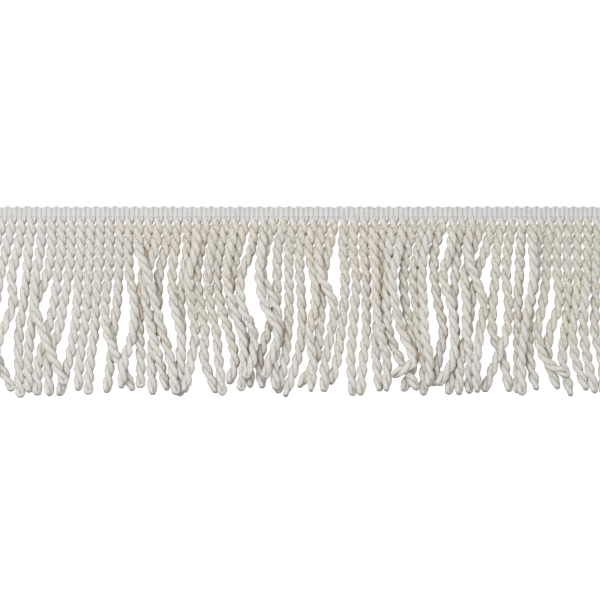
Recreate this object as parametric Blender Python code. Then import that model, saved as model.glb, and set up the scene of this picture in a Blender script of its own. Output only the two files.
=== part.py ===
"""Twisted loop fringe trim, a cut length lying flat and face up.

Metres, +Z up. The trim runs along X. The ribbed heading is on the +Y side and the
twisted loops hang towards -Y. Both rest on z = 0. The origin is in the middle of the
underside of the heading.

Two solids: the heading, a ribbed band with a scalloped upper edge, and the skirt, one
comb whose teeth are the loops. Each tooth wanders sideways down its drop and some lie
over their neighbours, as loose twisted loops do.
"""

import math

import bmesh
import bpy
from mathutils import Vector

# ---------------------------------------------------------------- driving dimensions
PITCH = 0.00508  # one twisted loop: five to the inch along the heading
LOOPS = 64  # loops in this cut length
FIRST = -31.485  # place of the first loop's root, in pitches from the middle of the trim
STEP = 0.00052  # what the table's sideways columns and drops count in, about a tenth of a pitch

HEADING_TOP = 0.0044  # upper edge of the heading, at the crown of a scallop
HEADING_EDGE = -0.0031  # lower edge of the heading
SCALLOP = 0.0007  # how far the upper edge dips between two scallops
HEADING_THICK = 0.0030
HEADING_SIDE = 0.0014  # height of the heading at its rolled upper edge
EDGE_ROLL = 0.0012  # width over which that edge is rolled
GAP = 0.0003  # between the heading and the skirt

ROOT_BAND = 0.0026  # depth of the band that joins the loops at their roots
ROOT_THICK = 0.0026
LOOP_WIDE = 0.00425  # width of a twisted loop, midway between its bulges and its waists
LOOP_THICK = 0.0042
TIP_WIDE = 0.0050  # the round end, where the cord turns back
LIFT = 0.0034  # how far a loop rises to pass over another
REST = 0.0000  # the surface it lies on

DROP_ZERO = -0.0034  # where drops are counted from, just under the heading
LEVELS = (28, 56, 84, 112, 140)  # drops of the five sideways columns, in steps
RINGS = 8  # sections of a tooth
KEPT = 0.85  # share of the comb's faces kept

# The heading isn't beaten up quite evenly: how far the roots stray, in steps.
#        loop   stray
STRAY = (
    (0, 0.0),
    (11, 0.7),
    (21, -0.5),
    (28, -1.8),
    (34, -0.8),
    (37, 0.8),
    (46, 1.4),
    (56, 2.6),
    (61, -0.4),
    (63, -0.4),
)

# One row for each loop, from the left end. The first five columns say how far it has
# swayed sideways from its own root at each level, tip says where its round end lies,
# drop how far down that is, and over which layer it lies in.
COLUMNS = ("high", "upper", "middle", "lower", "low", "tip", "drop", "over")
SWAY = (
    (-4.5, -8.5, -9.5, -8.5, -7.5, -7.5, 172, 0),
    (-6.5, -10, -11.5, -14, -16, -15, 166, 0),
    (-5.5, -11.5, -15, -17, -13.5, -1.5, 171.5, 0),
    (-4, -10, -9, -18, -27.5, -30.5, 169, 1),
    (-3, -5, -8.5, -12.5, -13, -11, 178.5, 0),
    (-1, -5, -6, 2, 13.5, 23, 164.5, 2),
    (0.5, -4.5, -16, -20.5, -23, -22, 173.5, 0),
    (0.5, -3.5, -7, -14, -22, -24, 176, 0),
    (0, -2.5, -7, -12.5, -22.5, -21, 176.5, 0),
    (0.5, -2, -3.5, -6.5, -11.5, -21.5, 176.5, 0),
    (0, -1.5, -3.5, -6.5, -10.5, -12, 171.5, 0),
    (-0.5, -1.5, -4.5, -5.5, -9.5, -12, 175.5, 0),
    (0, -1.5, -4.5, -2, 9.5, 22, 171.5, 1),
    (0, -1, -2.5, -6.5, -9, -13, 174, 0),
    (-0.5, 0.5, 5.5, 4, -4, -7.5, 169, 1),
    (1.5, 10, 17, 23.5, 32, 39, 175, 2),
    (-2, -6.5, -9, -9.5, -8, -8.5, 169, 0),
    (-3.5, -11.5, -12, -6, 1, 7.5, 171.5, 1),
    (-3, -9.5, -10.5, -14.5, -17, -15.5, 176, 0),
    (-3, -6, -4, 3, 3.5, 4.5, 174, 1),
    (-0.5, -4.5, -7.5, -6, -7.5, -8.5, 177, 0),
    (-1.5, -9, -6.5, -2.5, -6, -12.5, 172.5, 1),
    (-7, -10.5, -7, -2.5, -3, 8, 173.5, 0),
    (-5.5, -9, -7, -1, 1.5, 5, 176, 1),
    (-6.5, -10, -6.5, 2, 8, 4, 163.5, 0),
    (-6, -10, -3.5, 5, 8, 4, 171.5, 1),
    (-8, -12.5, -14.5, -3.5, 2.5, 4, 168, 0),
    (-4.5, -12.5, -14, -3, -3.5, -11.5, 159, 2),
    (-4, -6.5, -1.5, 12, 4, -1.5, 159, 2),
    (-8.5, -11, -0.5, 3.5, -1.5, 0.5, 170.5, 1),
    (-7.5, -8.5, -9.5, -18, -26, -23, 169, 0),
    (-6, -6.5, -6, -7.5, -10.5, -15.5, 174, 0),
    (-5.5, -5, -3.5, -3.5, -8, -17.5, 176, 0),
    (-6, -1, -1.5, -5.5, -2, -4, 172.5, 1),
    (-6, -3.5, 9, 6.5, 0.5, -0.5, 172.5, 1),
    (-6, -11, -13, -15, -19, -33, 168, 0),
    (-1, 1, 0, -3, -7, -14, 165, 0),
    (-1.5, 2.5, 1, -1, -3, -1, 176.5, 0),
    (0.5, 2.5, 2.5, 2.5, -0.5, -3.5, 176, 1),
    (0, 2.5, 2.5, 6.5, 13.5, 11, 171, 1),
    (-2.5, -2, -1, -7, -7, -3, 172, 0),
    (-4, -5.5, -6.5, -4, 7, 25, 170, 1),
    (-3.5, -11, -8, -0.5, 9.5, -11.5, 155, 2),
    (-5, -9, -7, -1, 2, -8.5, 171, 0),
    (-3.5, -9, -6, -4, 1.5, 1.5, 176, 0),
    (-7.5, -10.5, -9, -8, -3, -3.5, 167, 1),
    (-7, -7.5, -3.5, 1.5, -3.5, -10, 167, 0),
    (-1, -8.5, -1, 2.5, 0.5, -14.5, 166, 1),
    (-4, -6, -8, -6, -5.5, -12, 175.5, 0),
    (-4, 3, 12.5, 8.5, 4, 6, 173, 2),
    (-8, -16, -14.5, -15, -11.5, -11.5, 174.5, 1),
    (-4.5, -14.5, -19.5, -23, -30.5, -32, 175.5, 0),
    (-3.5, -5, -7.5, -7.5, 3, 9.5, 172.5, 0),
    (-2, -4, -1.5, -4, -14.5, -24.5, 172.5, 1),
    (0.5, -0.5, -2, -2, -2, -2, 174, 0),
    (2.5, 3.5, -1.5, -6, -9, -8, 176, 1),
    (-2.5, -3.5, -9, -10.5, -9.5, -2.5, 171, 0),
    (-2, -3, -6.5, -12, -4, 18, 156, 2),
    (-2, -1.5, 0, -9, -11, -2, 170, 0),
    (-1.5, -1, -0.5, -4, -6, 2.5, 177, 0),
    (-1.5, -0.5, -3, -6.5, -2.5, 8.5, 171, 0),
    (-0.5, -1.5, -5, -4.5, -0.5, 7, 174, 0),
    (-1, -3, -2.5, -3, 4, 5.5, 175, 0),
    (-1, -1.5, -2, -1, 3, 3.5, 171, 0),
)


# ---------------------------------------------------------------- shapes by rule
def between(table, at):
    """The table's second column at a place in its first, in a straight line between rows."""
    for (a, va), (b, vb) in zip(table, table[1:]):
        if at <= b:
            return va + (vb - va) * (at - a) / (b - a)
    return table[-1][1]


def root_of(loop):
    return (FIRST + loop) * PITCH + between(STRAY, loop) * STEP


def even_root_of(loop):
    return (FIRST + loop) * PITCH


def curve_through(points, spacing):
    """A smooth curve through the points, as places a near-even distance apart."""
    ends = [points[0] * 2 - points[1], *points, points[-1] * 2 - points[-2]]
    ends[0].x = points[0].x
    out = []
    for i in range(1, len(ends) - 2):
        p0, p1, p2, p3 = ends[i - 1 : i + 3]
        n = max(2, round((p2 - p1).length / spacing))
        for k in range(n):
            t = k / n
            a = p1 * 2 + (p2 - p0) * t
            b = (p0 * 2 - p1 * 5 + p2 * 4 - p3) * t * t
            c = (p1 * 3 - p0 - p2 * 3 + p3) * t * t * t
            out.append((a + b + c) / 2)
    out.append(points[-1].copy())
    return out


def loop_line(loop):
    """Centre line of a loop in plan, from under the heading to its round end."""
    row = dict(zip(COLUMNS, SWAY[loop]))
    even = even_root_of(loop)
    points = [Vector((root_of(loop), DROP_ZERO))]
    for name, level in zip(COLUMNS, LEVELS):
        if level < row["drop"] - 10:
            points.append(Vector((even + row[name] * STEP, DROP_ZERO - level * STEP)))
    # the column counts to the outside of the round end
    end = Vector((even + row["tip"] * STEP, DROP_ZERO - row["drop"] * STEP))
    back = (points[-1] - end).normalized()
    points.append(end + back * LOOP_WIDE * 0.45)
    return curve_through(points, 0.002)


def lifts(lines, layers):
    """Height that each place on each loop rises to lie over the loops below it."""
    raised = [[0.0] * len(line) for line in lines]
    for loop in sorted(range(len(lines)), key=lambda n: layers[n]):
        line = lines[loop]
        raw = [0.0] * len(line)
        for other in range(max(0, loop - 6), min(len(lines), loop + 7)):
            if layers[other] >= layers[loop]:
                continue
            for i, here in enumerate(line):
                for j, there in enumerate(lines[other]):
                    away = (here - there).length / LOOP_WIDE
                    if away < 1:
                        rise = raised[other][j] + LIFT * math.sqrt(1 - away * away)
                        raw[i] = max(raw[i], rise)
        # a cord bends over in a low hump, not in a step
        for i in range(len(line)):
            near = range(max(0, i - 4), min(len(line), i + 5))
            raised[loop][i] = max(raw[n] * (1 - (abs(n - i) / 5) ** 2) for n in near)
        level = raised[loop]
        raised[loop] = [
            sum(level[max(0, i - 1) : i + 2]) / len(level[max(0, i - 1) : i + 2])
            for i in range(len(level))
        ]
        raised[loop][0] = 0.0
    return raised


def tooth(line, raised):
    """Closed six-sided solid along a loop, flat underneath where it lies on the surface."""
    bm = bmesh.new()
    half, tall = LOOP_WIDE / 2, LOOP_THICK
    section = (
        (-0.62, 0.0),
        (0.62, 0.0),
        (1.0, 0.45),
        (0.55, 1.0),
        (-0.55, 1.0),
        (-1.0, 0.45),
    )
    start = line[0] + Vector((0.0, -0.0004))
    last = len(line) - 1
    rings = []
    for k in range(RINGS):
        at = last * k / (RINGS - 1)
        i = min(int(at), last - 1)
        here = line[i].lerp(line[i + 1], at - i)
        rise = raised[i] + (raised[i + 1] - raised[i]) * (at - i)
        if k == 0:
            here = start
        ahead = line[min(i + 1, last)] - line[max(i - 1, 0)]
        ahead.normalize()
        side = Vector((-ahead.y, ahead.x))
        wide, high = half, tall
        if k == 0:
            side, high = Vector((1, 0)), ROOT_THICK
        if k == RINGS - 1:
            wide, high = TIP_WIDE / 2, tall * 0.95
        if side.x < 0:
            side = -side
        places = []
        for across, up in section:
            spot = here + side * (across * wide)
            # where it passes over others it is solid down to the surface
            places.append(bm.verts.new((spot.x, spot.y, REST + (rise + up * high if up else 0))))
        rings.append(places)
    # the round end
    ahead = (line[last] - line[last - 1]).normalized()
    side = Vector((-ahead.y, ahead.x))
    if side.x < 0:
        side = -side
    nose = line[last] + ahead * (LOOP_WIDE * 0.45)
    cap = []
    for across, up in section:
        spot = nose + side * (across * TIP_WIDE * 0.24)
        above = raised[last] + (0.1 + up * 0.75) * tall if up else 0
        cap.append(bm.verts.new((spot.x, spot.y, REST + above)))
    rings.append(cap)
    for a, b in zip(rings, rings[1:]):
        for i in range(6):
            j = (i + 1) % 6
            bm.faces.new((a[i], a[j], b[j], b[i]))
    bm.faces.new(rings[0][::-1])
    bm.faces.new(rings[-1])
    bmesh.ops.recalc_face_normals(bm, faces=bm.faces)
    return bm


def made(name, bm, material):
    mesh = bpy.data.meshes.new(name)
    bm.to_mesh(mesh)
    bm.free()
    obj = bpy.data.objects.new(name, mesh)
    mesh.materials.append(material)
    bpy.context.scene.collection.objects.link(obj)
    return obj


def cotton(name, colour, roughness):
    material = bpy.data.materials.new(name)
    material.use_nodes = True
    shader = material.node_tree.nodes["Principled BSDF"]
    shader.inputs["Base Color"].default_value = (*colour, 1)
    shader.inputs["Roughness"].default_value = roughness
    shader.inputs["Metallic"].default_value = 0.0
    return material


def heading():
    """Ribbed band: columns of five points, one at each scallop's crown and dip."""
    bm = bmesh.new()
    columns = []
    for n in range(2 * LOOPS + 1):
        loop = (n - 1) / 2
        x = even_root_of(loop) + between(STRAY, max(0, loop)) * STEP
        crown = n % 2 == 0  # the cord turns over between two loops
        top = HEADING_TOP - (0 if crown else SCALLOP)
        thick = HEADING_THICK * (0.92 if crown else 1.0)
        columns.append(
            [
                bm.verts.new(place)
                for place in (
                    (x, HEADING_EDGE, 0.0),
                    (x, HEADING_EDGE, thick * 0.9),
                    (x, top - EDGE_ROLL, thick),
                    (x, top, HEADING_SIDE),
                    (x, top, 0.0),
                )
            ]
        )
    for a, b in zip(columns, columns[1:]):
        for i in range(5):
            j = (i + 1) % 5
            bm.faces.new((a[i], a[j], b[j], b[i]))
    bm.faces.new(columns[0][::-1])
    bm.faces.new(columns[-1])
    bmesh.ops.recalc_face_normals(bm, faces=bm.faces)
    return bm


def root_band(lines):
    """The band under the heading that all the loops come out of."""
    bm = bmesh.new()
    left = lines[0][0].x - PITCH / 2 + 0.0002
    right = lines[-1][0].x + PITCH / 2 - 0.0002
    top = HEADING_EDGE - GAP
    low = top - ROOT_BAND
    corners = [
        bm.verts.new((x, y, z))
        for x in (left, right)
        for y, z in ((top, 0), (low, 0), (low, ROOT_THICK * 0.8), (top, ROOT_THICK))
    ]
    for i in range(4):
        j = (i + 1) % 4
        bm.faces.new((corners[i], corners[j], corners[4 + j], corners[4 + i]))
    bm.faces.new(corners[3::-1])
    bm.faces.new(corners[4:])
    bmesh.ops.recalc_face_normals(bm, faces=bm.faces)
    return bm


def main():
    for obj in list(bpy.data.objects):
        bpy.data.objects.remove(obj, do_unlink=True)

    band_cotton = cotton("heading_cotton", (0.66, 0.65, 0.63), 0.9)
    loop_cotton = cotton("loop_cotton", (0.60, 0.56, 0.50), 0.92)

    lines = [loop_line(n) for n in range(LOOPS)]
    layers = [row[-1] for row in SWAY]
    raised = lifts(lines, layers)

    made("heading", heading(), band_cotton)

    # teeth kept as guides, which the comb takes in one after another
    skirt = made("fringe_skirt", root_band(lines), loop_cotton)
    for n in range(LOOPS):
        guide = made(f"tooth_{n + 1:02d}", tooth(lines[n], raised[n]), loop_cotton)
        guide.hide_render = True
        guide.display_type = "WIRE"
        union = skirt.modifiers.new(guide.name, "BOOLEAN")
        union.operation = "UNION"
        union.object = guide
        union.solver = "MANIFOLD"
    # the small faces where loops cross are merged
    fewer = skirt.modifiers.new("fewer_faces", "DECIMATE")
    fewer.decimate_type = "COLLAPSE"
    fewer.ratio = KEPT


main()
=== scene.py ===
"""Looks of the twisted loop fringe trim: one soft plied cord that runs down, turns back and
twists with itself, loop after loop, and a narrow ribbed heading of fine white threads woven
over it. Metres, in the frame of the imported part: +X along the trim, +Y towards the heading,
+Z up out of its face."""

import math

import bpy
import numpy as np
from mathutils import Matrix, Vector


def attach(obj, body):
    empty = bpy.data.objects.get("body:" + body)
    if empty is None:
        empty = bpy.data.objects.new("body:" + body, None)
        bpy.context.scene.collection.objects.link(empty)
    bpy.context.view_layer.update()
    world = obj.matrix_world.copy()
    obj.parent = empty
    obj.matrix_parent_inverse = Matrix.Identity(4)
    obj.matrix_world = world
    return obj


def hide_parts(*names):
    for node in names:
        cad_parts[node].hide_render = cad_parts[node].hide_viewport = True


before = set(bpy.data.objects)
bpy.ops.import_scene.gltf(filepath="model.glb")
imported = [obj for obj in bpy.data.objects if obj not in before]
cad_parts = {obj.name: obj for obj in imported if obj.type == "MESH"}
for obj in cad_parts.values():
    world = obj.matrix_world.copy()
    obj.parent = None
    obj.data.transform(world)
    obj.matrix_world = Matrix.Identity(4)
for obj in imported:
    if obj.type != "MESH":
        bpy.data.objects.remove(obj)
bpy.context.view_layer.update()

# ---------------------------------------------------------------- sizes of the trim
PITCH = 0.00508
LOOPS = 64
FIRST = -31.485
STEP = 0.00052
DROP_ZERO = -0.0034
LEVELS = (28, 56, 84, 112, 140)
LOOP_WIDE = 0.0048

HEADING_TOP = 0.0041  # crown of a scallop
CROWN = 0.00048  # how far a scallop's middle stands over its sides
WARP_TOP = 0.0030  # topmost of the fine threads
WARP_LOW = -0.0016  # lowest of the fine threads
WARP_COUNT = 26  # fine threads, every other one over every other rib
RIB_TOP = 0.00290  # height of a rib, over the threads
RIB_DIP = 0.00205  # height of the groove between two ribs
LEG_HIGH = 0.00148  # middle of the cord where it runs through the heading

TWIST_NEAR = 0.01144  # length of one full twist of a loop, just under the heading
TWIST_FAR = 0.01370  # and further down, where it opens a little
OFFSET = 0.00116  # from the middle of a loop to the middle of its cord
RADIAL = 0.00145  # half the cord's thickness, outwards
AROUND = 0.00150  # half the cord's width, across
EYE = 0.00122  # radius of the turn at a loop's end
PAIR_HIGH = 0.00250  # middle of a loop that lies on the surface
CROSS = 0.0040  # how far apart in height two loops cross
PLY_TURN = 0.0085  # length in which the plies turn once round the cord, against the twist

# The heading isn't beaten up quite evenly: how far the roots stray, in steps.
#        loop   stray
STRAY = (
    (0, 0.0),
    (11, 0.7),
    (21, -0.5),
    (28, -1.8),
    (34, -0.8),
    (37, 0.8),
    (46, 1.4),
    (56, 2.6),
    (61, -0.4),
    (63, -0.4),
)

# How much fuller the loops are just under the heading, where they crowd each other.
#        loop   fuller
FULLER = (
    (0, 0.03),
    (5, 0.05),
    (7, 0.17),
    (11, 0.16),
    (12.5, 0.04),
    (15, 0.10),
    (18, 0.10),
    (20, 0.12),
    (22, 0.20),
    (25, 0.20),
    (26.5, 0.08),
    (30, 0.14),
    (32, 0.20),
    (34, 0.17),
    (36, 0.10),
    (38, 0.20),
    (43, 0.20),
    (45, 0.10),
    (47, 0.17),
    (50, 0.17),
    (52, 0.05),
    (55, 0.16),
    (57, 0.12),
    (58, 0.03),
    (63, 0.03),
)

# One row for each loop, from the left end: sideways sway at each level, where the round end
# lies, how far down, by how many degrees it is turned from flat, and the layer it lies in.
COLUMNS = ("high", "upper", "middle", "lower", "low", "tip", "drop", "turned", "over")
SWAY = (
    (-4.5, -8.5, -9.5, -8.5, -7.5, -7.5, 172, 40, 0),
    (-6.5, -10, -11.5, -14, -16, -15, 166, 20, 0),
    (-5.5, -11.5, -15, -17, -13.5, 1, 171.5, 0, 0),
    (-4, -10, -9, -18, -27.5, -30.5, 169, 50, 1),
    (-3, -5, -8.5, -12.5, -13, -11, 178.5, 0, 0),
    (-1, -5, -6, 2, 13.5, 25.5, 165.5, 10, 2),
    (0.5, -4.5, -16, -20.5, -23, -22, 173.5, 70, 0),
    (0.5, -3.5, -7, -14, -22, -24, 176, 42, 0),
    (0, -2.5, -7, -12.5, -22.5, -21, 176.5, 48, 0),
    (0.5, -2, -3.5, -6.5, -11.5, -21.5, 176.5, 50, 0),
    (0, -1.5, -3.5, -6.5, -10.5, -12, 171.5, 57, 0),
    (-0.5, -1.5, -4.5, -5.5, -9.5, -12, 175.5, 0, 0),
    (0, -1.5, -4.5, -2, 9.5, 24, 171.5, 84, 1),
    (0, -1, -2.5, -6.5, -9, -13, 174, 58, 0),
    (-0.5, 0.5, 5.5, 4, -4, -7.5, 169, 70, 1),
    (0, 10, 17, 23.5, 32, 39, 175, 30, 2),
    (-2, -6.5, -9, -9.5, -8, -8.5, 169, 5, 0),
    (-3.5, -11.5, -12, -6, 1, 9, 171.5, 76, 1),
    (-3, -9.5, -10.5, -14.5, -17, -15.5, 176, 58, 0),
    (-3, -6, -4, 3, 3.5, 4.5, 174, 60, 1),
    (-0.5, -4.5, -7.5, -6, -7.5, -8.5, 177, 10, 0),
    (-1.5, -9, -6.5, -2.5, -6, -12.5, 172.5, 65, 1),
    (-7, -10.5, -7, -2.5, -3, 9.5, 173.5, 55, 0),
    (-5.5, -9, -7, -1, 1.5, 6, 176, 5, 1),
    (-6.5, -10, -6.5, 2, 8, 2, 165, 58, 0),
    (-6, -10, -3.5, 5, 8, 4, 171.5, 12, 1),
    (-8, -14.5, -16, -3.5, 2.5, 4, 168, 70, 0),
    (-4.5, -15, -14.5, -3, -3.5, -11.5, 159, 15, 2),
    (-4, -6.5, -1.5, 12, 4, -1.5, 159, 20, 2),
    (-10.5, -13, -0.5, 3.5, -1.5, 0.5, 170.5, 45, 1),
    (-7.5, -8.5, -9.5, -18, -26, -23, 169, 70, 0),
    (-6, -6.5, -6, -7.5, -10.5, -18, 174, 45, 0),
    (-5.5, -5, -3.5, -3.5, -8, -20.5, 177.5, 88, 0),
    (-6, -1, 0.5, -5.5, -2, -4, 172.5, 82, 1),
    (-6, -3.5, 9, 6.5, 0.5, -0.5, 172.5, 42, 1),
    (-6, -11, -13, -15, -19, -36, 168, 72, 0),
    (-1, 1, 0, -3, -7, -14, 165, 60, 0),
    (-1.5, 2.5, 1, -1, -3, -1, 176.5, 40, 0),
    (0.5, 2.5, 2.5, 2.5, -0.5, -3.5, 176, 55, 1),
    (0, 2.5, 2.5, 6.5, 13.5, 13, 172, 75, 1),
    (-2.5, -2, -1, -7, -7, -3, 172, 68, 0),
    (-4, -5.5, -6.5, -4, 7, 25, 170, 58, 1),
    (-3.5, -11, -8, -0.5, 9.5, -11.5, 156.5, 40, 2),
    (-5, -9, -7, -1, 2, -9.5, 172, 38, 0),
    (-3.5, -9, -6, -4, 1.5, 1.5, 176, 42, 0),
    (-7.5, -10.5, -9, -8, -3, -3.5, 167, 60, 1),
    (-7, -7.5, -3.5, 1.5, -3.5, -8, 167, 60, 0),
    (-1, -8.5, -1, 2.5, 0.5, -14.5, 166, 40, 1),
    (-4, -6, -8, -6, -5.5, -13.5, 175.5, 42, 0),
    (-4, 3, 12.5, 8.5, 4, 6, 173, 70, 2),
    (-8, -16, -14.5, -15, -11.5, -11.5, 174.5, 50, 1),
    (-4.5, -14.5, -19.5, -23, -30.5, -32, 175.5, 57, 0),
    (-3.5, -5, -7.5, -7.5, 3, 9.5, 172.5, 57, 0),
    (-2, -4, -1.5, -4, -14.5, -26.5, 172.5, 45, 1),
    (0.5, -0.5, -2, -2, -2, -2, 174, 30, 0),
    (2.5, 3.5, -1.5, -6, -9, -8, 176, 25, 1),
    (-2.5, -3.5, -9, -10.5, -9.5, -2.5, 171, 86, 0),
    (-2, -3, -6.5, -12, -4, 20, 156, 30, 2),
    (-2, -1.5, 0, -9, -11, -0.5, 170, 70, 0),
    (-1.5, -1, -0.5, -4, -6, 2.5, 177, 88, 0),
    (-1.5, -0.5, -3, -6.5, -2.5, 8.5, 171, 84, 0),
    (-0.5, -1.5, -5, -4.5, -0.5, 7, 174, 60, 0),
    (-1, -3, -2.5, -3, 4, 5.5, 175, 30, 0),
    (-1, -1.5, -2, -1, 3, 3.5, 171, 50, 0),
)

rng = np.random.default_rng(64)
rough_rng = np.random.default_rng(5)
UP = np.array((0.0, 0.0, 1.0))


# ---------------------------------------------------------------- small helpers
def between(table, at):
    for (a, va), (b, vb) in zip(table, table[1:]):
        if at <= b:
            return va + (vb - va) * (at - a) / (b - a)
    return table[-1][1]


def root_of(loop):
    return (FIRST + loop) * PITCH + between(STRAY, max(0, loop)) * STEP


def ease(t):
    t = np.clip(t, 0, 1)
    return t * t * (3 - 2 * t)


def lengths(points):
    steps = np.linalg.norm(np.diff(points, axis=0), axis=1)
    return np.concatenate([[0], np.cumsum(steps)])


def unit(vectors):
    return vectors / np.maximum(np.linalg.norm(vectors, axis=-1, keepdims=True), 1e-12)


def through(points, spacing):
    """A smooth curve through the points (Catmull-Rom), at an even spacing."""
    points = np.array(points, float)
    ends = np.vstack([2 * points[0] - points[1], points, 2 * points[-1] - points[-2]])
    ends[0, 0] = points[0, 0]
    out = []
    for p0, p1, p2, p3 in zip(ends, ends[1:], ends[2:], ends[3:]):
        t = np.linspace(0, 1, 40, endpoint=False)[:, None]
        out.append(
            (
                2 * p1
                + (p2 - p0) * t
                + (2 * p0 - 5 * p1 + 4 * p2 - p3) * t**2
                + (3 * p1 - p0 - 3 * p2 + p3) * t**3
            )
            / 2
        )
    out = np.vstack([*out, points[-1:]])
    along = lengths(out)
    at = np.linspace(0, along[-1], max(3, int(round(along[-1] / spacing)) + 1))
    return np.stack([np.interp(at, along, out[:, i]) for i in range(out.shape[1])], 1)


def waver(at, scale, amount, seed):
    """A slow, smooth, repeatable wander along a length."""
    out = np.zeros_like(at)
    for n in range(3):
        turn = math.sin(seed * 12.9898 + n * 78.233) * 43758.5453
        turn = (turn - math.floor(turn)) * 2 * math.pi
        out += np.sin(at / scale * (1 + 0.7 * n) * 2 * math.pi + turn) / (1 + n)
    return out * amount / 1.6


# ---------------------------------------------------------------- where the loops run
def line_of(loop):
    row = dict(zip(COLUMNS, SWAY[loop]))
    even = (FIRST + loop) * PITCH
    points = [(root_of(loop), DROP_ZERO)]
    for name, level in zip(COLUMNS, LEVELS):
        if level < row["drop"] - 10:
            points.append((even + row[name] * STEP, DROP_ZERO - level * STEP))
    end = np.array((even + row["tip"] * STEP, DROP_ZERO - row["drop"] * STEP))
    back = unit(np.array(points[-1]) - end)
    points.append(tuple(end + back * (EYE + RADIAL)))
    line = through(points, 0.0005)
    # it starts a little higher, at the lower edge of the heading
    above = np.array([(line[0, 0], DROP_ZERO + 0.0018 - 0.0005 * n) for n in range(4)])
    return np.vstack([above[above[:, 1] > line[0, 1] + 1e-5], line])


def lifts(lines, layers):
    """Height that each place on each loop rises to lie over the loops below it."""
    raised = [np.zeros(len(line)) for line in lines]
    order = sorted(range(len(lines)), key=lambda n: (layers[n], n))
    place = {n: i for i, n in enumerate(order)}
    for loop in order:
        line = lines[loop]
        raw = np.zeros(len(line))
        for other in range(max(0, loop - 8), min(len(lines), loop + 9)):
            if place[other] >= place[loop]:
                continue
            wide = LOOP_WIDE if layers[other] < layers[loop] else LOOP_WIDE * 0.9
            away = np.linalg.norm(line[:, None] - lines[other][None], axis=2) / wide
            rise = raised[other][None] + CROSS * np.sqrt(np.clip(1 - away**2, 0, 1))
            rise[away >= 1] = 0
            raw = np.maximum(raw, rise.max(axis=1))
        reach = 20
        window = 1 - (np.arange(-reach, reach + 1) / (reach + 1)) ** 2
        level = np.zeros(len(raw))
        for shift, share in zip(range(-reach, reach + 1), window):
            moved = np.zeros(len(raw))
            if shift < 0:
                moved[:shift] = raw[-shift:]
            elif shift > 0:
                moved[shift:] = raw[:-shift]
            else:
                moved = raw
            level = np.maximum(level, moved * share)
        for _ in range(3):
            padded = np.pad(level, 4, mode="edge")
            level = np.convolve(padded, np.ones(9) / 9, mode="valid")
        from_root = np.arange(len(level)) * 0.0005
        raised[loop] = level * ease((from_root - 0.003) / 0.012)
    return raised


# ---------------------------------------------------------------- the cord of one loop
def ribs_of(loop):
    """Where the left and the right leg of a loop run through the heading."""
    here = root_of(loop)
    left = here - (here - root_of(loop - 1) if loop else PITCH) / 4
    right = here + (root_of(loop + 1) - here if loop < LOOPS - 1 else PITCH) / 4
    return left, right


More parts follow.
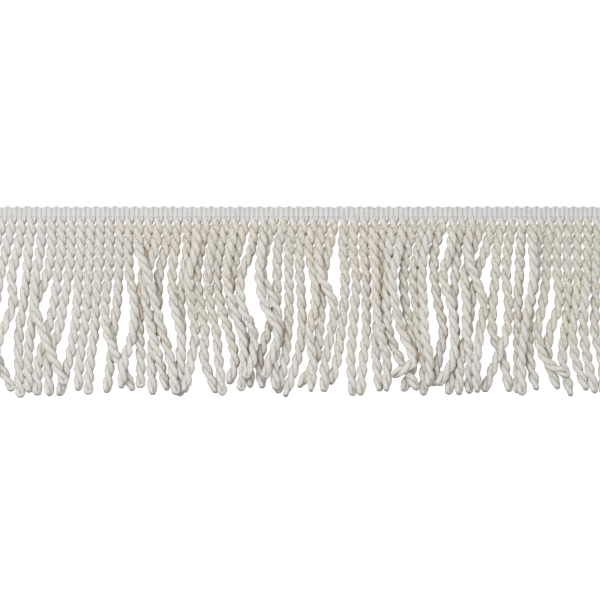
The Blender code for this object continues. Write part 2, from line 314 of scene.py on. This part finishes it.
def cord_of(loop, line, raised):
    """Path of the cord through one loop, with the way out of the pair at each place, and how
    much of the twist's shape it has."""
    along = lengths(line)
    start = 0.0018 - 0.0008  # the legs lie side by side here
    s = np.arange(0, along[-1], 0.0002)
    middle = np.stack([np.interp(s, along, line[:, i]) for i in range(2)], 1)
    lift = np.interp(s, along, raised)
    tangent = unit(np.gradient(middle, axis=0))
    tangent = np.column_stack([tangent, np.zeros(len(s))])
    side = np.cross(UP, tangent)

    turn = TWIST_NEAR + (TWIST_FAR - TWIST_NEAR) * ease((s - 0.012) / 0.024)
    turn *= 1 + TURN_SPREAD[loop]
    rate = 2 * np.pi / turn * ease((s - start + 0.001) / 0.002)
    # the twist eases off before the round end
    rate *= 1 - 0.55 * ease((s - (s[-1] - 0.003)) / 0.003)
    theta = np.concatenate([[0], np.cumsum((rate[1:] + rate[:-1]) / 2 * np.diff(s))])
    theta += waver(s, 0.045, 0.22, loop + 0.5) * ease(s / 0.02)
    # the round end is turned as the table says
    want = math.radians(dict(zip(COLUMNS, SWAY[loop]))["turned"])
    miss = (want - theta[-1] + math.pi / 2) % math.pi - math.pi / 2
    theta += miss * ease((s - s[-1] * 0.35) / (s[-1] * 0.65))

    radius = OFFSET + (PITCH / 4 - OFFSET) * (1 - ease(s / 0.003))
    radius = radius + (EYE - OFFSET) * ease((s - (s[-1] - 0.004)) / 0.004)
    radius *= 1 + waver(s, 0.03, 0.03, loop + 0.2) + 0.6 * between(FULLER, loop) * (1 - ease(s / 0.035))
    z = PAIR_HIGH + lift - (PAIR_HIGH - LEG_HIGH) * (1 - ease(s / 0.0036))
    z = np.maximum(z, radius * np.abs(np.sin(theta)) + RADIAL * 0.98)
    middle = np.column_stack([middle, z])
    out = -np.cos(theta)[:, None] * side + np.sin(theta)[:, None] * UP

    left, right = ribs_of(loop)
    # the turn at the end
    steps = np.linspace(0, np.pi, 24)[1:-1]
    ahead = unit(np.gradient(middle, axis=0))[-1]
    last_out = unit(out[-1] - ahead * np.dot(out[-1], ahead))
    turn_out = np.cos(steps)[:, None] * last_out + np.sin(steps)[:, None] * ahead
    turn_path = middle[-1] + radius[-1] * turn_out

    def leg(x, first, crown):
        """From the crown of the turn over the heading down to the twisted part."""
        low = first[1]
        turn_y = HEADING_TOP - 0.0017
        down = np.arange(turn_y, low, -0.0002)
        t = ease((turn_y - down) / (turn_y - low))
        straight = np.column_stack(
            [x + (first[0] - x) * t, down, np.full(len(down), LEG_HIGH)]
        )
        way = np.sign(first[0] - middle[0, 0])
        outs = np.tile((way, 0.0, 0.0), (len(down), 1))
        if crown is None:  # the cord's cut end
            return straight, outs
        beta = np.linspace(0, np.pi / 2, 12)[:-1]
        arc = np.column_stack(
            [
                crown + (x - crown) * np.sin(beta) ** 0.75,
                turn_y + CROWN * np.cos(beta) ** 0.8,
                np.full(len(beta), LEG_HIGH),
            ]
        )
        arc_out = np.column_stack(
            [way * np.sin(beta), -np.cos(beta), np.zeros(len(beta))]
        )
        return np.vstack([arc, straight]), np.vstack([arc_out, outs])

    a_path = middle + radius[:, None] * out
    b_path = middle - radius[:, None] * out
    crown_left = None if loop == 0 else (ribs_of(loop - 1)[1] + left) / 2
    crown_right = None if loop == LOOPS - 1 else (right + ribs_of(loop + 1)[0]) / 2
    a_leg, a_leg_out = leg(left, a_path[0], crown_left)
    b_leg, b_leg_out = leg(right, b_path[0], crown_right)

    path = np.vstack([a_leg, a_path, turn_path, b_path[::-1], b_leg[::-1]])
    outs = np.vstack([a_leg_out, out, turn_out, -out[::-1], b_leg_out[::-1]])
    n_leg, n_twist, n_turn = len(a_leg), len(s), len(steps)
    in_heading = np.concatenate(
        [
            np.ones(n_leg),
            1 - ease(s / 0.0028),
            np.zeros(n_turn),
            (1 - ease(s / 0.0028))[::-1],
            np.ones(len(b_leg)),
        ]
    )
    near_end = ease((s - (s[-1] - 0.0035)) / 0.0035)
    in_turn = np.concatenate(
        [np.zeros(n_leg), near_end, np.ones(n_turn), near_end[::-1], np.zeros(len(b_leg))]
    )
    bend = in_turn.copy()
    if crown_left is not None:
        bend[:12] = 1
    if crown_right is not None:
        bend[-12:] = 1
    fuller = between(FULLER, loop) * (1 - ease(s / 0.035)) * ease((s - 0.0028) / 0.004)
    # a small hole stays open on each side of a loop, just under the heading
    fuller = fuller - HOLES[loop] * np.exp(-(((s - 0.0022) / 0.0013) ** 2))
    fuller = np.concatenate(
        [np.zeros(n_leg), fuller, np.zeros(n_turn), fuller[::-1], np.zeros(len(b_leg))]
    )
    return path, outs, in_heading, in_turn, bend, fuller


PLIES = 4
ROUND = 16  # points round the cord, four to a ply
PLY_SHAPE = (0.83, 0.98, 1.05, 0.98)  # from the groove between two plies over one of them


def rings_of(path, outs, in_heading, in_turn, bend, fuller, travelled, open_plies):
    """Rings of points round the cord: its plies, pressed flat where the legs meet."""
    along = lengths(path)
    step = np.where(bend > 0.5, 0.00045, 0.00068)
    # place the rings so that each lies its own step from the one before
    count = np.concatenate([[0], np.cumsum(np.diff(along) / step[1:])])
    rings = max(4, int(round(count[-1])))
    at = np.interp(np.linspace(0, count[-1], rings + 1), count, along)

    def read(values):
        if values.ndim == 1:
            return np.interp(at, along, values)
        return np.stack([np.interp(at, along, values[:, i]) for i in range(3)], 1)

    centre = read(path)
    tangent = unit(read(unit(np.gradient(path, axis=0))))
    out = read(outs)
    out = unit(out - tangent * (out * tangent).sum(1, keepdims=True))
    across = np.cross(tangent, out)
    heading, end = read(in_heading), read(in_turn)
    twisted = np.clip(1 - heading - end, 0, 1)

    swell = 1 + waver(at + travelled, 0.021, 0.035, 3.3) + waver(at + travelled, 0.0063, 0.02, 7.1)
    swell = swell + read(fuller) * twisted
    deep = (RADIAL * twisted + 0.00110 * heading + 0.00134 * end) * swell
    wide = (AROUND * twisted + 0.00110 * heading + 0.00142 * end) * swell
    place = at + travelled
    spin = place / PLY_TURN * 2 * np.pi + waver(place, 0.03, 0.35, 1.7)
    j = np.arange(ROUND)
    angle = 2 * np.pi * j / ROUND + spin[:, None]
    profile = np.array(PLY_SHAPE)[j % 4]
    shape = np.tile(profile, (rings + 1, 1))
    groove = np.tile((j % 4 == 0) + 0.15 * (j % 4 != 2), (rings + 1, 1))
    for ply in range(PLIES):
        mine = slice(ply * 4, ply * 4 + 4)
        # each ply stands out more here and less there, and its groove opens and closes
        stands = waver(place, 0.0075, 0.075, ply * 3.1 + 0.7)
        opens = np.clip(0.8 + waver(place, 0.0052, 0.45, ply * 2.3 + 0.4), 0.1, 1.3) * open_plies
        shape[:, mine] = 1 + (shape[:, mine] - 1) * np.where(profile[mine] < 1, opens[:, None], 1)
        shape[:, mine] += stands[:, None] * np.array((0.4, 1.0, 1.0, 1.0))
        groove[:, mine] *= opens[:, None]
    shape += rough_rng.normal(0, 0.032, (rings + 1, ROUND))
    c, n = np.cos(angle), np.sin(angle)
    inner = np.clip(-c, 0, 1)
    x = deep[:, None] * c * shape * (1 - 0.06 * inner)
    y = wide[:, None] * n * shape * (1 + 0.05 * inner * twisted[:, None])
    points = centre[:, None] + out[:, None] * x[..., None] + across[:, None] * y[..., None]
    points[..., 2] = np.maximum(points[..., 2], 0.0)  # nothing dips into the surface
    # painted shade: the colour is darkened down the grooves between the plies and on the side where the
    # two legs press together
    crease = np.clip(0.8 * groove + 0.12 * inner, 0, 1)
    # the far rim of the round end is darker, turned away from the light
    rim = end[:, None] * ease((centre[:, None, 1] - points[..., 1] - 0.0001) / 0.0010)
    return points, crease, rim, at + travelled, travelled + along[-1]


# ---------------------------------------------------------------- making meshes
def mesh_of(name, verts, quads, caps, uv, values, material):
    """A mesh from arrays: quads, n-sided caps, a UV per corner and a value per point."""
    mesh = bpy.data.meshes.new(name)
    corners = [quads.reshape(-1)]
    starts = [np.arange(len(quads)) * 4]
    at = len(quads) * 4
    for cap in caps:
        corners.append(np.array(cap))
        starts.append(np.array([at]))
        at += len(cap)
    corners, starts = np.concatenate(corners), np.concatenate(starts)
    mesh.vertices.add(len(verts))
    mesh.vertices.foreach_set("co", np.asarray(verts, np.float32).reshape(-1))
    mesh.loops.add(len(corners))
    mesh.loops.foreach_set("vertex_index", corners.astype(np.int32))
    mesh.polygons.add(len(starts))
    mesh.polygons.foreach_set("loop_start", starts.astype(np.int32))
    mesh.update(calc_edges=True)
    mesh.validate()
    mesh.shade_smooth()
    layer = mesh.uv_layers.new(name="along")
    all_uv = np.zeros((len(corners), 2), np.float32)
    all_uv[: len(quads) * 4] = uv.reshape(-1, 2)
    layer.data.foreach_set("uv", all_uv.reshape(-1))
    for key, numbers in values.items():
        attribute = mesh.attributes.new(key, "FLOAT", "POINT")
        attribute.data.foreach_set("value", np.asarray(numbers, np.float32))
    mesh.materials.append(material)
    obj = bpy.data.objects.new(name, mesh)
    bpy.context.scene.collection.objects.link(obj)
    return obj


def tube_faces(rings, around, first=0):
    i = np.arange(rings - 1)[:, None] * around + first
    j = np.arange(around)[None]
    k = (j + 1) % around
    return np.stack([i + j, i + k, i + around + k, i + around + j], -1).reshape(-1, 4)


def tube_uv(along, around):
    i = along[:, None]
    j = np.arange(around)[None] / around
    k = (np.arange(around)[None] + 1) / around
    a, b = i[:-1], i[1:]
    one = np.ones_like
    return np.stack(
        [
            np.stack([j * one(a), a * one(j)], -1),
            np.stack([k * one(a), a * one(k)], -1),
            np.stack([k * one(b), b * one(k)], -1),
            np.stack([j * one(b), b * one(j)], -1),
        ],
        2,
    ).reshape(-1, 4, 2)


# ---------------------------------------------------------------- materials
def wire(tree, kind, **settings):
    node = tree.nodes.new(kind)
    for key, value in settings.items():
        if key.startswith("_"):
            setattr(node, key[1:], value)
        else:
            node.inputs[key.replace("0", " ")].default_value = value
    return node


def ramp(tree, source, stops):
    node = tree.nodes.new("ShaderNodeValToRGB")
    node.color_ramp.elements[0].position, node.color_ramp.elements[1].position = (
        stops[0][0],
        stops[-1][0],
    )
    node.color_ramp.elements[0].color = (*stops[0][1], 1)
    node.color_ramp.elements[1].color = (*stops[-1][1], 1)
    for place, colour in stops[1:-1]:
        node.color_ramp.elements.new(place).color = (*colour, 1)
    tree.links.new(source, node.inputs[0])
    return node


def mixed(tree, factor, a, b, how="MIX"):
    node = tree.nodes.new("ShaderNodeMix")
    node.data_type = "RGBA"
    node.blend_type = how
    for socket, value in ((0, factor), (6, a), (7, b)):
        if isinstance(value, bpy.types.NodeSocket):
            tree.links.new(value, node.inputs[socket])
        elif socket == 0:
            node.inputs[0].default_value = value
        else:
            node.inputs[socket].default_value = (*value, 1)
    return node.outputs[2]


def cotton(
    name,
    light,
    dark,
    deep,
    fibre,
    bump,
    sheen,
    through_it,
    mottled,
    casts,
    pale=None,
    tucked_tone=None,
):
    """Soft matte cotton: fibres along the plies, a slow drift of tone from place to place,
    and painted shade, warmer and darker, down in the grooves, deep among the other cords and on the far
    rims of the round ends."""
    material = bpy.data.materials.new(name)
    material.use_nodes = True
    tree = material.node_tree
    shader = tree.nodes["Principled BSDF"]
    shader.inputs["Roughness"].default_value = 0.93
    shader.inputs["Metallic"].default_value = 0.0
    shader.inputs["Specular IOR Level"].default_value = 0.18
    shader.inputs["Sheen Weight"].default_value = sheen
    shader.inputs["Sheen Roughness"].default_value = 0.5
    # a little light goes through the fibres
    shader.inputs["Subsurface Weight"].default_value = through_it
    shader.inputs["Subsurface Radius"].default_value = (1.0, 0.9, 0.75)
    shader.inputs["Subsurface Scale"].default_value = 0.0016

    uv = wire(tree, "ShaderNodeUVMap", _uv_map="along")
    stretch = wire(tree, "ShaderNodeMapping")
    stretch.inputs["Scale"].default_value = fibre
    tree.links.new(uv.outputs[0], stretch.inputs[0])
    fibres = wire(tree, "ShaderNodeTexNoise", Scale=1.0, Detail=5.0, Roughness=0.70)
    tree.links.new(stretch.outputs[0], fibres.inputs["Vector"])

    place = wire(tree, "ShaderNodeTexCoord")
    drift = wire(tree, "ShaderNodeTexNoise", Scale=170.0, Detail=3.0, Roughness=0.6)
    tree.links.new(place.outputs["Object"], drift.inputs["Vector"])
    nap = wire(tree, "ShaderNodeTexNoise", Scale=1300.0, Detail=2.0, Roughness=0.6)
    tree.links.new(place.outputs["Object"], nap.inputs["Vector"])

    tone = mixed(tree, 0.45, fibres.outputs["Fac"], drift.outputs["Fac"])
    tone = mixed(tree, 0.5, tone, nap.outputs["Fac"])
    colour = ramp(tree, tone, [(0.37, dark), (0.63, light)])
    hue = wire(tree, "ShaderNodeTexNoise", Scale=75.0, Detail=2.0, Roughness=0.5)
    tree.links.new(place.outputs["Object"], hue.inputs["Vector"])
    lean = wire(tree, "ShaderNodeAttribute", _attribute_name="lean")
    leaning = wire(tree, "ShaderNodeMath", _operation="ADD")
    tree.links.new(hue.outputs["Fac"], leaning.inputs[0])
    tree.links.new(lean.outputs["Fac"], leaning.inputs[1])
    cast = ramp(tree, leaning.outputs[0], [(0.36, casts[0]), (0.5, casts[1]), (0.64, casts[2])])
    colour = mixed(tree, 1.0, colour.outputs[0], cast.outputs[0], "MULTIPLY")
    # the nap lies unevenly
    specks = wire(tree, "ShaderNodeTexNoise", Scale=640.0, Detail=3.0, Roughness=0.75)
    tree.links.new(place.outputs["Object"], specks.inputs["Vector"])
    mottle = ramp(tree, specks.outputs["Fac"], [(0.34, (mottled,) * 3), (0.62, (1.0,) * 3)])
    colour = mixed(tree, 1.0, colour, mottle.outputs[0], "MULTIPLY")
    # painted shade: mixed towards the deep colour down in the grooves
    crease = wire(tree, "ShaderNodeAttribute", _attribute_name="crease")
    soft = wire(tree, "ShaderNodeMath", _operation="MULTIPLY")
    soft.inputs[1].default_value = 0.17
    tree.links.new(crease.outputs["Fac"], soft.inputs[0])
    shaded = mixed(tree, soft.outputs[0], colour, deep)
    shade = wire(tree, "ShaderNodeAttribute", _attribute_name="shade")
    tinted = mixed(tree, shade.outputs["Fac"], shaded, dark)
    if pale:
        near = wire(tree, "ShaderNodeAttribute", _attribute_name="pale")
        tinted = mixed(tree, near.outputs["Fac"], tinted, pale)
    # painted shade: darker, warmer colour where the cord lies deep among the others
    if tucked_tone:
        under = wire(tree, "ShaderNodeAttribute", _attribute_name="tucked")
        tinted = mixed(tree, under.outputs["Fac"], tinted, tucked_tone, "MULTIPLY")
        far = wire(tree, "ShaderNodeAttribute", _attribute_name="rim")
        tinted = mixed(tree, far.outputs["Fac"], tinted, (0.46, 0.44, 0.41), "MULTIPLY")
    tree.links.new(tinted, shader.inputs["Base Color"])

    height = mixed(tree, 0.5, fibres.outputs["Fac"], nap.outputs["Fac"])
    relief = wire(tree, "ShaderNodeBump", Strength=0.8)
    relief.inputs["Distance"].default_value = bump
    tree.links.new(height, relief.inputs["Height"])
    tree.links.new(relief.outputs[0], shader.inputs["Normal"])
    return material


loop_cotton = cotton(
    "loop_cotton_soft",
    light=(0.788, 0.765, 0.719),
    dark=(0.632, 0.600, 0.530),
    # deep is the colour of the painted shade down in the grooves
    deep=(0.47, 0.425, 0.345),
    fibre=(15, 420, 1),
    bump=0.00046,
    sheen=0.10,
    through_it=0.72,
    mottled=0.69,
    casts=((0.985, 0.992, 0.945), (0.988, 0.987, 0.995), (1.0, 0.970, 0.940)),
    pale=(0.658, 0.643, 0.624),
    # the colour that the painted shade among the cords multiplies by
    tucked_tone=(0.93, 0.85, 0.735),
)
warp_cotton = cotton(
    "heading_cotton_fine",
    light=(0.734, 0.730, 0.724),
    dark=(0.638, 0.634, 0.628),
    # deep is the colour of the painted shade where the threads dip between the ribs
    deep=(0.48, 0.472, 0.455),
    fibre=(6, 2600, 1),
    bump=0.00002,
    sheen=0.15,
    through_it=0.0,
    mottled=0.94,
    casts=((0.99, 0.995, 1.0), (1.0, 0.995, 0.99), (0.99, 0.99, 1.0)),
    pale=(0.715, 0.700, 0.668),
)

# ---------------------------------------------------------------- the loops
TURN_SPREAD = rng.normal(0, 0.022, LOOPS).clip(-0.05, 0.05)
HOLES = rough_rng.uniform(0.0, 0.14, LOOPS)

lines = [line_of(n) for n in range(LOOPS)]
layers = [row[-1] for row in SWAY]
raised = lifts(lines, layers)

PALE_END = -0.0060  # the cord is whiter above this, where it comes out of the heading
PALE_RUN = 0.0034
TIP_FROM, TIP_RUN, TIP_PALE = -0.052, 0.042, 0.60  # and greyer again towards the round ends
# painted light: the colour is washed greyer where the cord lies high on top of others, the look of yarn
# in full light
LIT_TOP_FROM, LIT_TOP_RUN, LIT_TOP_PALE = 0.0054, 0.0034, 0.55  # and where it lies on top of others

cords = []
travelled = 0.0
for loop in range(LOOPS):
    # the plies show less where the loops press on each other
    open_plies = 0.85 if layers[loop] else 0.45
    points, crease, rim, along, travelled = rings_of(
        *cord_of(loop, lines[loop], raised[loop]), travelled, open_plies
    )
    cords.append((points, crease, rim, along))
cord_length = travelled
print(f"cord length {cord_length:.3f} m")

CELL = 0.0005
LOW_X, LOW_Y = -0.180, -0.105
CELLS_X, CELLS_Y = 720, 240


def cell_of(points):
    return (points[..., 0] - LOW_X) / CELL, (points[..., 1] - LOW_Y) / CELL


def heights_of(cords):
    """How high the cords stand over each cell of the surface, and the same a little blurred."""
    top = np.zeros((CELLS_Y, CELLS_X))
    for points, _, _, _ in cords:
        round_half = (points + np.roll(points, -1, axis=1)) / 2
        along_half = (points[1:] + points[:-1]) / 2
        for some in (points, round_half, along_half, (round_half[1:] + round_half[:-1]) / 2):
            x, y = cell_of(some)
            np.maximum.at(top, (y.astype(int), x.astype(int)), some[..., 2])
    blurred = top
    for _ in range(3):
        for axis in (0, 1):
            blurred = sum(np.roll(blurred, n, axis) for n in range(-3, 4)) / 7
    return blurred


standing = heights_of(cords)


def tucked(points):
    """How deep a point lies among the cords round it, from 0 to 1: the mask of the painted shade under
    and between the cords.
    """
    x, y = cell_of(points)
    x, y = x - 0.5, y - 0.5
    i, j = np.floor(y).astype(int), np.floor(x).astype(int)
    v, u = y - i, x - j
    round_it = (
        standing[i, j] * (1 - v) * (1 - u)
        + standing[i + 1, j] * v * (1 - u)
        + standing[i, j + 1] * (1 - v) * u
        + standing[i + 1, j + 1] * v * u
    )
    return ease((round_it - points[..., 2] - OCCLUSION_SHADE_FROM) / OCCLUSION_SHADE_OVER)


OCCLUSION_SHADE_FROM, OCCLUSION_SHADE_OVER = 0.0001, 0.0028
GROUPS = 5
bounds_of_group = np.linspace(0, LOOPS, GROUPS + 1).round().astype(int)
for group in range(GROUPS):
    verts, quads, caps, uvs = [], [], [], []
    values = {"crease": [], "rim": [], "shade": [], "pale": [], "tucked": [], "lean": []}
    first = 0
    for loop in range(bounds_of_group[group], bounds_of_group[group + 1]):
        points, crease, rim, along = cords[loop]
        count = len(points)
        verts.append(points.reshape(-1, 3))
        quads.append(tube_faces(count, ROUND, first))
        caps.append([first + n for n in range(ROUND)][::-1])
        caps.append([first + (count - 1) * ROUND + n for n in range(ROUND)])
        uvs.append(tube_uv(along, ROUND))
        values["crease"].append(crease.reshape(-1))
        values["rim"].append(rim.reshape(-1))
        down = points[..., 1].reshape(-1)
        washed = ease((down - PALE_END) / PALE_RUN)
        washed = np.maximum(washed, TIP_PALE * ease((TIP_FROM - down) / TIP_RUN))
        # painted light: loops lying high on top of others are washed greyer, as yarn looks in full
        # light
        high = points[..., 2].reshape(-1)
        washed = np.maximum(washed, LIT_TOP_PALE * ease((high - LIT_TOP_FROM) / LIT_TOP_RUN))
        # the colour turns greyer at the left end and greener towards the right
        sideways = points[..., 0].reshape(-1)
        washed = np.maximum(washed, 0.52 * ease((-0.05 - sideways) / 0.10))
        values["pale"].append(washed)
        values["lean"].append(0.03 - 0.12 * ease((sideways - 0.03) / 0.10))
        tone = 0.28 * (0.5 + 0.5 * math.sin(loop * 2.399 + 1.1))
        tone = np.clip(tone + waver(along, 0.034, 0.12, 9.4), 0, 1)
        values["shade"].append(np.repeat(tone, ROUND))
        # the painted shade is weaker towards the left end, which reads lighter there
        shade_fades_left = 1 - 0.35 * ease((-0.05 - sideways) / 0.10)
        values["tucked"].append(tucked(points).reshape(-1) * shade_fades_left)
        first += count * ROUND
    piece = mesh_of(
        f"twisted_loops_{group + 1}",
        np.vstack(verts),
        np.vstack(quads),
        caps,
        np.vstack(uvs),
        {key: np.concatenate(parts) for key, parts in values.items()},
        loop_cotton,
    )
    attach(piece, "root")
    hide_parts("fringe_skirt")

# ---------------------------------------------------------------- the heading's fine threads
rib_x = np.array([x for loop in range(LOOPS) for x in ribs_of(loop)])
gap_x = np.concatenate(
    [
        [rib_x[0] - PITCH / 4],
        (rib_x[1:] + rib_x[:-1]) / 2,
        [rib_x[-1] + PITCH / 4],
    ]
)


def warp_path(phase):
    """A fine thread over one rib and under the next, along the whole heading."""
    points = []
    for rib in range(len(rib_x)):
        a, b, m = gap_x[rib], gap_x[rib + 1], rib_x[rib]
        half = (b - a) / 2
        if rib % 2 == phase:
            rows = ((-0.95, 0.0), (-0.6, 0.55), (0.0, 1.0), (0.6, 0.55), (0.95, 0.0))
            points += [(m + half * u, RIB_DIP + (RIB_TOP - RIB_DIP) * v) for u, v in rows]
        else:
            rows = ((-0.90, 0.00034), (-0.4, 0.00020), (0.4, 0.00020), (0.90, 0.00034))
            points += [(m + half * u, v) for u, v in rows]
    return np.array(points)


warp_groups = 2
for group in range(warp_groups):
    verts, quads, caps, uvs = [], [], [], []
    values = {"crease": [], "shade": [], "pale": [], "lean": []}
    first = 0
    for n in range(group, WARP_COUNT, warp_groups):
        y = WARP_LOW + (WARP_TOP - WARP_LOW) * n / (WARP_COUNT - 1)
        flat = warp_path(n % 2)
        wander = waver(flat[:, 0], 0.06, 0.00004, n + 0.3)
        centre = np.column_stack([flat[:, 0], y + wander, flat[:, 1]])
        tangent = unit(np.gradient(centre, axis=0))
        up = unit(np.cross(tangent, np.array((0.0, 1.0, 0.0))) * -1)
        side = np.tile((0.0, 1.0, 0.0), (len(centre), 1))
        around = 4
        angle = 2 * np.pi * np.arange(around) / around
        wide, tall = 0.000235, 0.00016
        points = (
            centre[:, None]
            + side[:, None] * (wide * np.cos(angle))[None, :, None]
            + up[:, None] * (tall * np.sin(angle))[None, :, None]
        )
        along = lengths(centre)
        count = len(points)
        verts.append(points.reshape(-1, 3))
        quads.append(tube_faces(count, around, first))
        caps.append([first + k for k in range(around)][::-1])
        caps.append([first + (count - 1) * around + k for k in range(around)])
        uvs.append(tube_uv(along, around))
        # painted shade: a thread is darker where it dips down between the ribs
        low = np.clip((RIB_TOP - centre[:, 2]) / (RIB_TOP - RIB_DIP), 0, 1)
        values["crease"].append(np.repeat(low * 0.35, around))
        values["shade"].append(np.full(count * around, 0.15 + 0.1 * math.sin(n * 1.7)))
        # the lower threads let the warmer cord under them show
        values["pale"].append(np.full(count * around, 0.7 * ease((0.0010 - y) / 0.0032)))
        values["lean"].append(np.zeros(count * around))
        first += count * around
    piece = mesh_of(
        f"heading_threads_{group + 1}",
        np.vstack(verts),
        np.vstack(quads),
        caps,
        np.vstack(uvs),
        {key: np.concatenate(parts) for key, parts in values.items()},
        warp_cotton,
    )
    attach(piece, "root")
    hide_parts("heading")

# ---------------------------------------------------------------- floor, light and camera
floor_mesh = bpy.data.meshes.new("floor")
size = 6.0
floor_mesh.from_pydata(
    [(-size, -size, -0.0002), (size, -size, -0.0002), (size, size, -0.0002), (-size, size, -0.0002)],
    [],
    [(0, 1, 2, 3)],
)
floor = bpy.data.objects.new("floor", floor_mesh)
bpy.context.scene.collection.objects.link(floor)
paper = bpy.data.materials.new("white_paper")
paper.use_nodes = True
tree = paper.node_tree
tree.nodes.clear()
target = tree.nodes.new("ShaderNodeOutputMaterial")
matt = wire(tree, "ShaderNodeBsdfDiffuse")
matt.inputs["Color"].default_value = (0.32, 0.32, 0.32, 1)
glow = wire(tree, "ShaderNodeEmission", Strength=0.93)
glow.inputs["Color"].default_value = (1, 1, 1, 1)
seen = wire(tree, "ShaderNodeLightPath")
both = wire(tree, "ShaderNodeAddShader")
tree.links.new(matt.outputs[0], both.inputs[0])
tree.links.new(glow.outputs[0], both.inputs[1])
choose = wire(tree, "ShaderNodeMixShader")
tree.links.new(seen.outputs["Is Camera Ray"], choose.inputs[0])
tree.links.new(matt.outputs[0], choose.inputs[1])
tree.links.new(both.outputs[0], choose.inputs[2])
tree.links.new(choose.outputs[0], target.inputs["Surface"])
floor_mesh.materials.append(paper)

world = bpy.data.worlds.new("studio")
bpy.context.scene.world = world
world.use_nodes = True
tree = world.node_tree
back = tree.nodes["Background"]
back.inputs[0].default_value = (1, 1, 1, 1)
back.inputs[1].default_value = 0.60
bright = wire(tree, "ShaderNodeBackground")
bright.inputs[0].default_value = (1, 1, 1, 1)
bright.inputs[1].default_value = 1.0
seen = wire(tree, "ShaderNodeLightPath")
choose = wire(tree, "ShaderNodeMixShader")
tree.links.new(seen.outputs["Is Camera Ray"], choose.inputs[0])
tree.links.new(back.outputs[0], choose.inputs[1])
tree.links.new(bright.outputs[0], choose.inputs[2])
tree.links.new(choose.outputs[0], tree.nodes["World Output"].inputs["Surface"])


def area(name, place, aim, size, power):
    data = bpy.data.lights.new(name, "AREA")
    data.shape = "RECTANGLE"
    data.size, data.size_y = size
    data.energy = power
    light = bpy.data.objects.new(name, data)
    light.location = place
    light.rotation_euler = (Vector(aim) - Vector(place)).to_track_quat("-Z", "Y").to_euler()
    bpy.context.scene.collection.objects.link(light)
    return light


middle = (0.0, -0.045, 0.0)
area("key", (-0.25, 0.255, 1.04), middle, (0.9, 0.9), 5.40)
area("fill", (-0.30, 0.02, 0.90), middle, (0.7, 0.7), 2.78)

camera_data = bpy.data.cameras.new("camera")
camera_data.lens = 120
camera_data.sensor_width = 36
camera_data.clip_start = 0.01
camera = bpy.data.objects.new("camera", camera_data)
camera.location = (0.0, -0.04498, 1.0430)
camera.rotation_euler = (0, 0, 0)
bpy.context.scene.collection.objects.link(camera)
bpy.context.scene.camera = camera
bpy.context.scene.view_settings.view_transform = "Standard"
bpy.context.scene.view_settings.look = "None"
